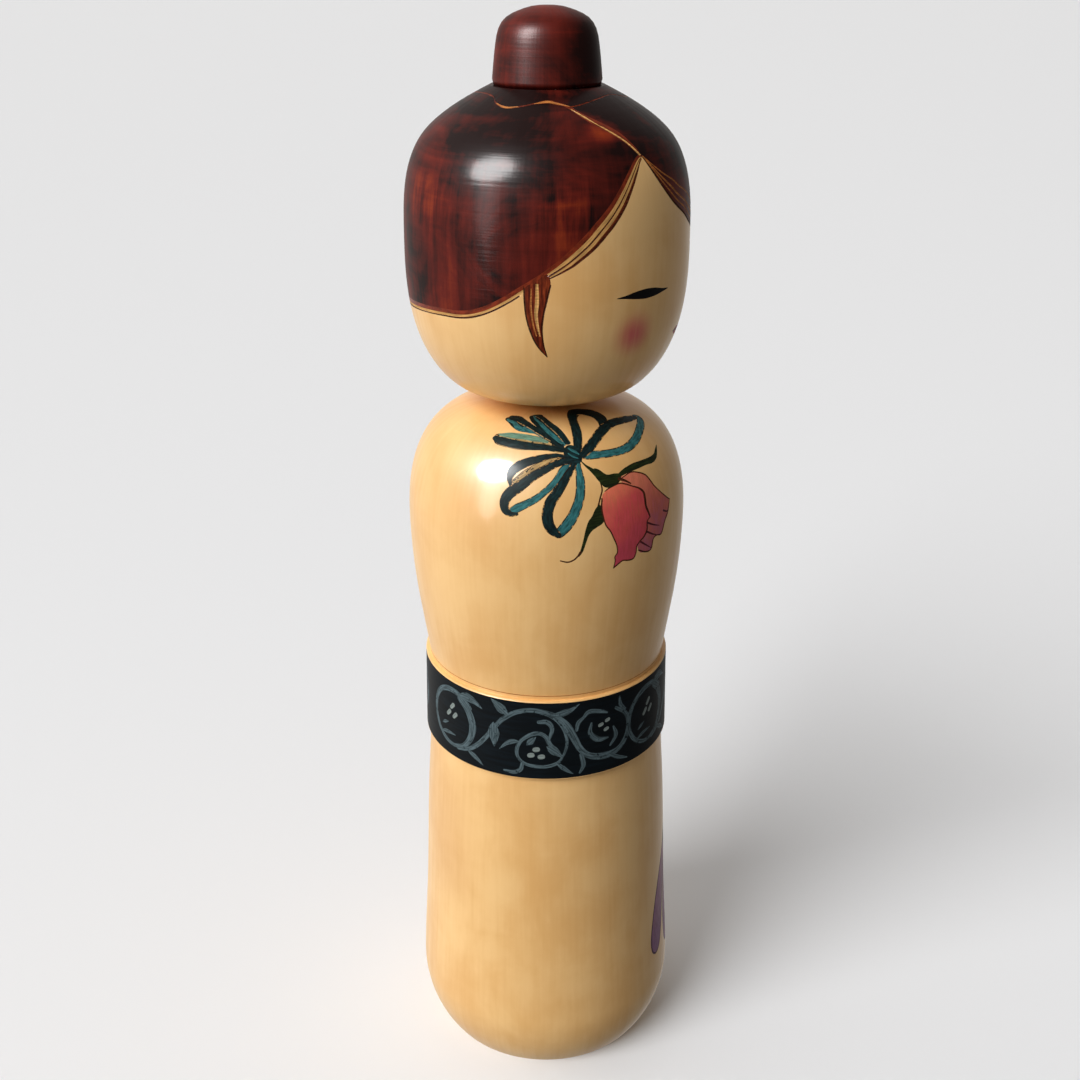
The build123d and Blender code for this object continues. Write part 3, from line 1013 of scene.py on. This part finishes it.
def scroll(shift):
    """One run of the sash pattern: a round flower, a long vine and two curls."""
    def sprig(start, end, wide, bend):
        leaf(start, end, wide, scroll_grey, bend, shift)

    # Round flower
    vine(arc(-123, 95.5, 7.0, 40, 285, (1.2, 0.8), 18), shift)
    vine([(-118.2, 101.3, 1.0), (-113, 99.3, 1.5), (-110.3, 95.9, 1.6), (-111.6, 92.4, 1.3),
          (-116, 89.6, 0.9), (-122, 88.5, 0.7)], shift)
    dots(((-123.2, 98.3), (-125.8, 96.2), (-121.4, 96.2)), 0.8, (-0.4, 0.5), (0.9, 1.0), shift)
    sprig((-132, 90.2), (-121, 91.2), 0.8, 0.3)
    sprig((-131, 92.5), (-126, 93.8), 0.7, 0.1)
    sprig((-118, 102.4), (-105, 101.0), 1.7, 0.8)
    sprig((-113, 88.9), (-104.6, 86.6), 1.1, 0.3)
    # Long vine
    vine([(-119.5, 88.3, 0.7), (-112.7, 89.5, 0.9), (-107.3, 91.6, 0.9), (-103.2, 94.1, 0.9),
          (-99.1, 97.0, 0.8), (-94.3, 99.9, 0.9), (-88.2, 102.0, 0.9), (-81.3, 102.8, 0.9),
          (-74.5, 102.1, 1.1), (-69.1, 100.5, 1.4), (-65, 98.2, 1.5), (-62.2, 95.4, 1.4),
          (-59.5, 92.7, 1.2), (-55.4, 90.6, 1.2), (-48.6, 89.6, 1.5), (-41.8, 89.9, 1.2),
          (-37.7, 91.2, 1.1), (-35, 93.4, 1.1), (-34.4, 96.2, 1.0), (-36.4, 98.8, 0.9),
          (-41.8, 100.9, 0.6)], shift)
    # Hanging bud and its leaves
    vine([(-67.7, 90.9, 0.4), (-70.4, 92.7, 0.9), (-73.2, 94.3, 0.9), (-75, 96.2, 0.8),
          (-78, 97.1, 0.8), (-81.6, 96.7, 0.8), (-86.1, 95.0, 0.7), (-88, 92.8, 0.7),
          (-87.6, 90.8, 0.6), (-84.6, 89.3, 0.6), (-80, 88.7, 0.7), (-74.5, 88.7, 0.7),
          (-69.6, 89.6, 0.7), (-67.7, 90.9, 0.4)], shift)
    dots(((-81.7, 91.4), (-77.0, 91.1), (-79.3, 92.9)), 0.5, (0, 0.1), (1.2, 1.2), shift)
    vine([(-71.5, 100.9, 0.3), (-67.6, 98.4, 0.5), (-65.6, 95.4, 0.6), (-66.2, 92.6, 0.5),
          (-68.2, 90.4, 0.3)], shift)
    sprig((-74.6, 93.8), (-67.4, 90.8), 1.7, 0.2)
    sprig((-83.6, 94.0), (-79.4, 96.2), 1.2, 0.0)
    sprig((-86.8, 94.6), (-96.3, 92.0), 1.0, 0.9)
    vine([(-78.2, 99.9, 0.7), (-74.4, 99.9, 1.0), (-72.2, 98.2, 0.8), (-73.6, 95.6, 0.5)], shift)
    sprig((-70.6, 89.8), (-62.6, 86.4), 0.9, -0.2)
    vine([(-85.6, 89.2, 0.6), (-86.4, 87.6, 0.8), (-89.5, 86.7, 0.8), (-94.0, 86.8, 0.4)], shift)
    sprig((-92.2, 101.0), (-100.2, 104.2), 1.9, 0.0)
    sprig((-99.2, 98.4), (-98.8, 92.4), 2.3, 0.0)
    sprig((-72, 101.8), (-60.0, 103.9), 1.3, -0.6)
    scroll_end(shift)


# Three runs go round from the doll's right side, and one more curl closes the gap behind
run_angle = 103.0
for count in range(3):
    scroll(count * run_angle)
line([(a, s, 1.1) for a, s in ((-180, 97), (-178.6, 94), (-175, 91), (-168, 89.6), (-160, 89.8),
                               (-154, 91.6), (-151.6, 95), (-153.6, 98.4), (-159, 101))],
     scroll_grey)
scroll_end(-117.0)


# Bow at the doll's right breast. Long streamers fan out behind the shoulder
def streamer(outline, dark, bright, paint_bright, ground):
    """A streamer: dotted scorched edge, ground paint inside it, then two brushed stripes."""
    inner = 0.965
    body.patch(outline, scorch_dots)
    edge = np.array(outline)
    centre = edge.mean(0)
    body.patch([tuple(centre + (p - centre) * inner) for p in edge], ground)
    body.stroke(dark, navy)
    body.stroke(bright, paint_bright)


streamer([(-66, 164.3), (-70, 165.5), (-75.3, 166.9), (-80, 167.6), (-87.8, 168.05),
          (-93.6, 167.95), (-101, 167.5), (-105.2, 167.0), (-105.2, 166.0), (-104, 165.1),
          (-101, 164.45), (-93.6, 164.1), (-87.8, 163.95), (-82, 164.1), (-75, 164.0),
          (-69, 163.5), (-66, 163.6)],
         [(-104.2, 166.0, 1.3), (-101, 165.65, 1.9), (-97.3, 165.45, 2.0), (-93.6, 165.3, 2.0),
          (-87.8, 165.1, 2.0), (-82.6, 164.95, 1.8), (-75.3, 164.8, 1.4), (-70.1, 164.4, 1.2),
          (-66, 163.9, 0.9)],
         [(-102.6, 167.1, 0.6), (-97.3, 167.3, 1.4), (-93.6, 167.35, 1.5), (-87.8, 167.3, 1.5),
          (-82.6, 167.0, 1.5), (-78.9, 166.7, 1.2), (-74.6, 166.1, 0.6)], sea, pale_speckle)
streamer([(-66, 164.6), (-70, 165.7), (-75, 167.0), (-80, 168.1), (-86, 168.5), (-92, 168.7),
          (-97.3, 169.6), (-102.5, 170.9), (-107.2, 171.8), (-107.0, 172.9), (-103, 174.0),
          (-97, 174.0), (-92, 173.0), (-86, 171.6), (-80, 169.9), (-75, 168.3), (-70, 166.6),
          (-66.5, 165.4)],
         [(-104, 173.3, 1.3), (-99, 173.0, 2.1), (-95, 172.3, 2.1), (-90, 171.2, 2.1),
          (-86.3, 170.3, 1.9), (-82.6, 169.3, 1.8), (-78.9, 168.4, 1.6), (-75.3, 167.3, 1.4),
          (-71, 165.9, 1.1), (-67, 164.9, 0.8)],
         [(-105, 172.0, 0.6), (-100, 171.3, 1.7), (-97.3, 170.8, 2.0), (-93.6, 170.0, 2.0),
          (-90, 169.5, 1.8), (-86, 169.0, 1.2), (-82, 168.5, 0.8), (-77, 167.2, 0.4)], teal, navy)
streamer([(-65.5, 165.0), (-69, 165.6), (-73, 166.9), (-78, 168.9), (-83, 170.9), (-88, 172.9),
          (-90, 174.6), (-84, 175.8), (-78, 175.0), (-73.5, 173.2), (-69.2, 171.2),
          (-65.6, 169.0), (-63.0, 166.4)],
         [(-87.5, 173.4, 1.1), (-82.6, 171.4, 1.4), (-79, 169.9, 1.5), (-75.3, 168.3, 1.4),
          (-71, 166.5, 1.1), (-67, 165.1, 0.8)],
         [(-86, 174.5, 1.0), (-82.6, 173.0, 1.7), (-79.7, 171.9, 2.0), (-76.7, 170.4, 2.0),
          (-73.8, 169.0, 2.0), (-70.9, 167.7, 1.7), (-67.9, 166.3, 1.3), (-65.7, 165.4, 0.7)],
         teal, navy)
# A broad dark stroke above the third streamer, under the chin: partly its navy ribbon, partly
# painted shade cast by the head
body.stroke([(-82, 175.0, 1.8), (-78, 173.9, 2.5), (-74, 172.2, 2.8), (-70, 170.4, 2.7),
             (-66.6, 168.4, 2.2), (-63.6, 166.0, 1.5)], navy)
body.stroke([(-98, 171.9, 0.15), (-92, 170.9, 0.4), (-86, 169.8, 0.3), (-80, 168.3, 0.4),
             (-73, 166.4, 0.2)], pale_speckle)
body.stroke([(-85, 174.8, 0.15), (-80, 173.5, 0.45), (-75, 171.2, 0.3), (-70, 168.9, 0.4),
             (-66, 166.2, 0.2)], pale_speckle)

# Upright loop, up under the chin; its wide dark top is partly navy ribbon, partly painted shade
# from the head above
line([(-59.4, 163.6, 1.6), (-57.8, 166.2, 2.1), (-56.2, 169.0, 2.3), (-55.0, 171.8, 2.2),
      (-52.8, 174.0, 2.2), (-48.6, 175.4, 2.7), (-43.6, 175.9, 3.4), (-36.5, 174.6, 3.8),
      (-33.4, 172.2, 3.2), (-34.6, 170.0, 2.4), (-38.0, 168.0, 1.6)], navy, 0.16)

# Lower left loop, folded over on itself
line([(-67.5, 162.3, 0.5), (-72.3, 161.7, 1.0), (-76.7, 160.9, 1.3), (-81.1, 159.8, 1.4),
      (-85.2, 158.5, 1.3), (-88.6, 157.2, 0.8)], pale_speckle, 0.12)
line([(-66, 162.6, 0.5), (-69.5, 162.85, 0.7), (-72.9, 162.8, 0.9), (-76.7, 162.4, 1.2),
      (-81.1, 161.8, 1.5), (-84.8, 161.1, 1.7), (-88.2, 160.2, 1.9), (-90.6, 158.9, 1.8),
      (-91.0, 157.4, 1.2), (-89.9, 156.2, 0.5)], navy, 0.14)
line([(-88.6, 151.2, 1.3), (-86.3, 151.9, 1.5), (-82.6, 152.9, 1.3), (-78.9, 154.0, 1.2),
      (-76, 155.2, 1.1), (-73.8, 156.1, 1.1), (-70.9, 157.6, 1.1), (-67.9, 159.6, 1.2),
      (-64.5, 160.9, 0.7)], teal, 0.16)
line([(-62.5, 161.3, 0.8), (-65, 161.5, 1.0), (-67.9, 161.45, 1.2), (-72.3, 160.75, 1.3),
      (-76.7, 159.6, 1.4), (-81.1, 158.3, 1.6), (-84, 157.1, 1.7), (-87, 155.9, 1.9),
      (-90.3, 154.6, 2.0), (-92.0, 152.9, 1.9), (-91.4, 151.3, 1.5), (-89.2, 150.5, 0.8),
      (-86.6, 150.6, 0.3)], navy, 0.2)

# Lower loop
line([(-60.6, 160.6, 0.9), (-60.4, 157.8, 1.6), (-60.8, 155.5, 1.7), (-61.6, 153.6, 1.7),
      (-63.1, 151.7, 1.8), (-64.8, 150.0, 1.9), (-67.2, 148.3, 2.0), (-70.0, 146.8, 1.7)],
     teal, 0.22)
line([(-62.2, 160.9, 0.8), (-65.6, 158.6, 1.2), (-68.4, 156.7, 1.6), (-71.1, 154.8, 1.8),
      (-73.3, 153.2, 2.0), (-74.3, 151.7, 2.0), (-74.6, 150.2, 2.0), (-74.0, 148.6, 1.9),
      (-72.6, 147.4, 1.6), (-70.4, 146.4, 0.9)], navy, 0.2)

# Right loop
line([(-57.6, 162.5, 1.0), (-54.6, 162.35, 1.5), (-51.3, 162.3, 1.5), (-45.7, 162.1, 1.4),
      (-40.2, 162.0, 1.4), (-34.6, 162.05, 1.5), (-29.8, 162.4, 1.6), (-24.3, 163.1, 1.6),
      (-19.5, 163.9, 1.6), (-14.7, 164.7, 1.6), (-10.0, 165.4, 1.6), (-6.2, 166.1, 1.5),
      (-4.4, 166.9, 1.3), (-6.4, 167.6, 0.8)], teal, 0.2)
line([(-57.6, 162.6, 1.1), (-54.8, 163.5, 1.6), (-51.6, 164.5, 1.8), (-46.8, 166.0, 1.8),
      (-42.8, 167.1, 1.8), (-38.8, 167.9, 1.8), (-35.0, 168.5, 1.8), (-29.2, 168.9, 1.8),
      (-24.0, 168.8, 1.8), (-16.3, 168.3, 1.7), (-10.7, 167.8, 1.3), (-6.6, 167.3, 0.6)],
     navy, 0.2)

# Knot of the bow
body.patch([(-63.5, 165.2), (-60.4, 164.9), (-58.2, 164.0), (-57.6, 162.6), (-58.6, 161.2),
            (-61.4, 160.8), (-64.2, 161.3), (-66.4, 162.4), (-66.2, 164.2)], navy)
line([(-66.4, 165.3, 0.5), (-65.9, 164.0, 0.6), (-64.6, 162.8, 0.4)], navy)
line([(-63.6, 164.4, 0.4), (-61.2, 163.6, 0.7), (-59.2, 162.9, 0.3)], teal)
line([(-64.2, 163.2, 0.3), (-62.0, 162.4, 0.4), (-60.0, 162.0, 0.2)], teal)

# Rose: stem, calyx, leaves, back petal, then the front petal over it
line([(-58.6, 161.2, 0.3), (-56.9, 160.2, 0.5), (-54.6, 159.2, 0.9), (-52.4, 158.0, 1.3),
      (-50.0, 156.8, 1.6)], leaf_green)
line([(-51.7, 156.4, 0.3), (-51.5, 154.9, 0.35), (-52.9, 153.2, 0.35), (-54.1, 151.6, 0.4)],
     scorch)
body.patch([(-53.3, 152.0), (-52.1, 150.3), (-52.1, 148.3), (-54.9, 147.4), (-56.9, 146.8),
            (-58.5, 145.8), (-59.7, 144.1), (-60.9, 142.4), (-62.6, 141.4), (-61.3, 143.7),
            (-60.5, 145.4), (-59.7, 147.1), (-58.5, 148.8), (-56.9, 149.8), (-55.3, 151.2)],
           leaf_green)
line([(-61.8, 142.4, 0.5), (-62.8, 141.6, 0.4), (-64.4, 140.8, 0.35), (-66.8, 140.4, 0.35),
      (-69.6, 140.8, 0.25)], scorch)
body.patch([(-45.0, 156.6), (-40.2, 158.0), (-33.8, 158.7), (-27.4, 158.7), (-21.1, 158.6),
            (-17.1, 158.8), (-14.7, 159.4), (-11.3, 160.0), (-13.1, 159.1), (-14.7, 158.4),
            (-17.1, 157.6), (-21.1, 157.2), (-25.8, 157.4), (-32.2, 157.3), (-37.8, 157.1)],
           leaf_green)
back_petal = [(-41.8, 155.8), (-40, 156.8), (-36, 157.1), (-31.4, 156.4), (-28, 155.5),
              (-26, 154.0), (-24.3, 152.6), (-20.3, 150.5), (-16.3, 148.7), (-14.7, 148.2),
              (-15.5, 147.0), (-17, 145.3), (-19.5, 143.9), (-22, 141.6), (-25.4, 141.9),
              (-27.4, 141.5), (-28.6, 139.2), (-32, 139.2), (-36, 140.2), (-38, 146)]
body.patch(back_petal, rose_back, fade=((-34, 156), (-19, 138)))
front_petal = [(-52.1, 153.1), (-51.2, 154.1), (-48.1, 155.0), (-43.4, 155.5), (-40.2, 155.1),
               (-37, 154.3), (-33.8, 153.5), (-31.4, 152.5), (-31, 151.0), (-31, 149.4),
               (-29.8, 147.8), (-29.2, 146.7), (-31.2, 145.9), (-31.2, 144.2), (-32.8, 142.8),
               (-35.4, 142.0), (-37, 141.2), (-37.2, 139.9), (-38.4, 138.7), (-41, 138.7),
               (-43.6, 139.0), (-45.6, 138.5), (-47.6, 137.7), (-47.2, 139.2), (-47.4, 140.2),
               (-46.3, 141.0), (-46.5, 142.5), (-47.7, 144.1), (-49.3, 146.0), (-51.2, 147.5),
               (-52.1, 149.2), (-52.6, 151.2)]
body.patch(front_petal, rose, fade=((-51, 155), (-37, 140)))
line([(-50.4, 154.5, 0.17), (-48.1, 155.0, 0.26), (-43.4, 155.5, 0.3), (-40.2, 155.1, 0.34),
      (-37, 154.3, 0.28), (-33.8, 153.5, 0.37), (-31.6, 152.4, 0.56), (-31.3, 151.0, 0.62),
      (-31.3, 149.4, 0.56), (-30.2, 147.8, 0.5), (-29.4, 146.7, 0.34)], scorch)
line([(-29.4, 146.7, 0.26), (-31.2, 145.9, 0.31), (-31.4, 144.2, 0.43), (-33.0, 142.9, 0.43),
      (-35.4, 142.1, 0.31), (-37, 141.2, 0.34), (-37.2, 139.9, 0.3), (-38.4, 138.7, 0.34),
      (-41, 138.6, 0.34), (-43.6, 138.9, 0.3), (-45.6, 138.4, 0.34), (-47.8, 137.7, 0.3)],
     scorch)
line([(-47.8, 137.7, 0.26), (-47.2, 139.2, 0.26), (-47.4, 140.2, 0.26), (-46.3, 141.0, 0.3),
      (-46.5, 142.5, 0.3), (-47.7, 144.1, 0.3), (-49.3, 146.0, 0.3), (-51.2, 147.5, 0.3),
      (-52.1, 149.2, 0.3), (-52.6, 151.2, 0.34), (-52.1, 153.1, 0.34)], scorch)
line([(-41.4, 156.4, 0.17), (-36, 157.1, 0.26), (-31.4, 156.5, 0.3), (-28, 155.5, 0.34),
      (-26, 154.0, 0.34), (-24.3, 152.6, 0.3), (-20.3, 150.5, 0.26), (-16.3, 148.7, 0.26),
      (-14.5, 148.1, 0.17)], scorch)
line([(-14.7, 148.2, 0.17), (-15.8, 147.0, 0.31), (-17.4, 145.5, 0.34), (-19.7, 144.0, 0.34),
      (-22.2, 141.7, 0.34), (-25.4, 141.9, 0.3), (-27.6, 141.4, 0.31), (-28.8, 139.3, 0.34),
      (-32, 139.2, 0.34), (-36, 140.2, 0.3)], scorch)
for points in (((-31, 145.6), (-27.4, 144.6), (-23.6, 143.8)),
               ((-34.8, 141.9), (-32, 140.8), (-28.8, 139.6)),
               ((-31.2, 143.6), (-28.0, 142.6), (-23.4, 141.5)),
               ((-20.4, 146.6), (-18.2, 146.0), (-16.2, 145.9))):
    line([(a, s, w) for (a, s), w in zip(points, (0.45, 0.35, 0.12))], petal_edge)
body.patch([(-53.6, 159.4), (-51.3, 159.1), (-48.1, 157.8), (-44.1, 157.7), (-41.2, 157.2),
            (-42.6, 155.9), (-46.5, 155.1), (-50.1, 155.3), (-52.2, 156.6), (-53.7, 157.9)],
           leaf_green)
line([(-42.6, 156.4, 0.7), (-40, 155.8, 0.5), (-37.4, 154.9, 0.3)], scorch)

# Bell flower low on the front of the skirt: slender petals hung from one calyx
flower_middle = 9.0
slender = [(8.0, 54.0), (0.5, 49.3), (-5.0, 44.8), (-9.4, 40.2), (-12.8, 35.4), (-15.4, 30.4),
           (-16.0, 27.2), (-14.6, 24.5), (-11.0, 23.2), (-7.2, 24.2), (-4.2, 27.6),
           (-0.8, 33.4), (3.2, 41.6), (7.6, 50.0)]
for way, shade in ((-1, mauve_deep), (1, mauve)):
    petal = mirrored(slender, way, flower_middle)
    body.patch(petal, shade, fade=((petal[0][0], 54), (petal[8][0], 24)))
    line([(*p, 0.5) for p in petal], mauve_edge)
middle_petal = [(9, 52), (5.6, 45), (2.6, 37), (0.8, 29.6), (1.8, 23.6), (5, 20.6), (9, 19.8),
                (13, 20.6), (16.2, 23.6), (17.2, 29.6), (15.4, 37), (12.4, 45)]
body.patch(middle_petal, mauve, fade=((9, 48), (9, 20)))
line([(*p, 0.5) for p in middle_petal + middle_petal[:1]], mauve_edge)
for lean in (-4, 0, 4):
    line([(flower_middle + 0.3 * lean, 45, 0.15), (flower_middle + 0.7 * lean, 35, 0.3),
          (flower_middle + lean, 25.5, 0.15)], mauve_edge)
body.patch([(5.0, 53.6), (9, 55.4), (13, 53.6), (15, 49.2), (12, 50.6), (9, 48.4), (6, 50.6),
            (3.4, 49.2)], leaf_green)
line([(9, 54.8, 1.2), (11.5, 59.2, 0.9), (17, 64, 0.8), (25, 68.4, 0.7), (35, 71.5, 0.4)],
     leaf_green)
leaf((18.6, 64.4), (38.5, 55.5), 3.2, leaf_green, -1.0, outline=0.1)
leaf((25.0, 68.0), (19.0, 78.5), 2.8, leaf_green, 0.6, outline=0.1)

body_skin = body.build(
    [(0, 0)],
    [(dowel_radius, neck_z), (dowel_radius, neck_z - socket_depth), (0, neck_z - socket_depth)],
)
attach(body_skin, "body")
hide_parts("body")

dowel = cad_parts["neck_dowel"]
dowel.data.materials.clear()
dowel.data.materials.append(pale_wood("dowel_wood"))

# ---------------------------------------------------------------- floor, light, camera

floor_size = 12.0
half = floor_size / 2
floor_data = bpy.data.meshes.new("floor")
floor_data.from_pydata([(-half, -half, 0), (half, -half, 0), (half, half, 0), (-half, half, 0)],
                       [], [(0, 1, 2, 3)])
floor_data.materials.append(Shader("pale_floor").finish(rgb("E6E8EC"), 0.6, 0.0, 0.3))
floor_ob = new_object("floor", floor_data)
floor_ob.visible_diffuse = False
floor_ob.visible_glossy = False

# A pale wall all round the far edge of the floor, seen only where a view reaches the horizon
wall_radius, wall_height, wall_sides = 0.49 * floor_size, 5.0, 64
wall_verts = [(wall_radius * math.sin(a), wall_radius * math.cos(a), z)
              for a in np.linspace(0, 2 * math.pi, wall_sides, endpoint=False)
              for z in (-0.01, wall_height)]
wall_faces = [(2 * i, 2 * i + 1, 2 * j + 1, 2 * j)
              for i in range(wall_sides) for j in [(i + 1) % wall_sides]]
wall_data = bpy.data.meshes.new("wall")
wall_data.from_pydata([tuple(float(c) for c in v) for v in wall_verts], [], wall_faces)
wall_mat = bpy.data.materials.new("pale_wall")
wall_mat.use_nodes = True
wall_mat.node_tree.nodes.clear()
glow = wall_mat.node_tree.nodes.new("ShaderNodeEmission")
glow.inputs["Color"].default_value = (*rgb("E9EAEB"), 1)
wall_out = wall_mat.node_tree.nodes.new("ShaderNodeOutputMaterial")
wall_mat.node_tree.links.new(glow.outputs[0], wall_out.inputs["Surface"])
wall_data.materials.append(wall_mat)
wall = new_object("wall", wall_data)
for ray in ("diffuse", "glossy", "transmission", "shadow"):
    setattr(wall, "visible_" + ray, False)

# The viewer stands before the doll's right side, a little above its head, looking down
camera_azimuth = -75.0
camera_distance = 0.2824
camera_height = 0.2555
camera_pitch = 24.15
camera_yaw = 0.29
camera_lens = 45.5


def around_axis(azimuth, distance, height):
    """Place at an angle round the doll: 0 before the face, 90 at the doll's left."""
    a = math.radians(azimuth)
    return Vector((math.sin(a) * distance, -math.cos(a) * distance, height))


camera_data = bpy.data.cameras.new("camera")
camera_data.lens = camera_lens
camera_data.sensor_width = 36.0
camera_data.clip_start = 0.01
camera = new_object("camera", camera_data)
camera.location = around_axis(camera_azimuth, camera_distance, camera_height)
camera.rotation_euler = (math.radians(90 - camera_pitch), 0,
                         math.radians(camera_azimuth + camera_yaw))
bpy.context.scene.camera = camera


def area_light(name, azimuth, distance, height, target_z, size, power, tilt=0.0):
    """An oval light seen only in reflections, aimed at a height on the doll's axis."""
    data = bpy.data.lights.new(name, "AREA")
    data.shape = "ELLIPSE"
    data.size, data.size_y = size
    data.energy = power
    ob = new_object(name, data)
    ob.location = around_axis(azimuth, distance, height)
    way = Vector((0, 0, target_z)) - ob.location
    turn = way.to_track_quat("-Z", "Y") @ Quaternion((0, 0, 1), math.radians(tilt))
    ob.rotation_euler = turn.to_euler()
    ob.visible_diffuse = False


# The window gives the bright spots on the varnish, and the paler sill below it a soft streak
window_azimuth = camera_azimuth - 52
area_light("window", window_azimuth, distance=0.65, height=0.68, target_z=0.20,
           size=(0.50, 0.38), power=38.0, tilt=40.0)
area_light("sill", window_azimuth + 4, distance=0.80, height=0.30, target_z=0.20,
           size=(0.24, 0.50), power=2.6)

# Broad soft daylight from the same side lights the doll and the floor evenly
day_data = bpy.data.lights.new("daylight", "SUN")
day_data.energy = 3.1
day_data.angle = math.radians(38)
day_data.color = (1.0, 0.985, 0.96)
day = new_object("daylight", day_data)
day_way = -around_axis(camera_azimuth - 47, 0.8, 0.6)
day.rotation_euler = day_way.to_track_quat("-Z", "Y").to_euler()
day.visible_glossy = False

# The room: bright behind the doll and toward the window, dim on the far side
room_dim, room_bright = 0.19, 0.84
world = bpy.data.worlds.new("studio")
bpy.context.scene.world = world
world.use_nodes = True
tree = world.node_tree
background = tree.nodes["Background"]
look = tree.nodes.new("ShaderNodeTexCoord")
toward = tree.nodes.new("ShaderNodeVectorMath")
toward.operation = "DOT_PRODUCT"
toward.inputs[1].default_value = around_axis(camera_azimuth - 140, 1.0, -0.05).normalized()
spread = tree.nodes.new("ShaderNodeMapRange")
spread.interpolation_type = "SMOOTHSTEP"
spread.inputs[1].default_value, spread.inputs[2].default_value = -0.4, 0.9
spread.inputs[3].default_value, spread.inputs[4].default_value = room_dim, room_bright
tree.links.new(look.outputs["Generated"], toward.inputs[0])
tree.links.new(toward.outputs["Value"], spread.inputs[0])
tree.links.new(spread.outputs[0], background.inputs["Strength"])
background.inputs["Color"].default_value = (1.0, 0.97, 0.93, 1)

bpy.context.scene.view_settings.view_transform = "Standard"
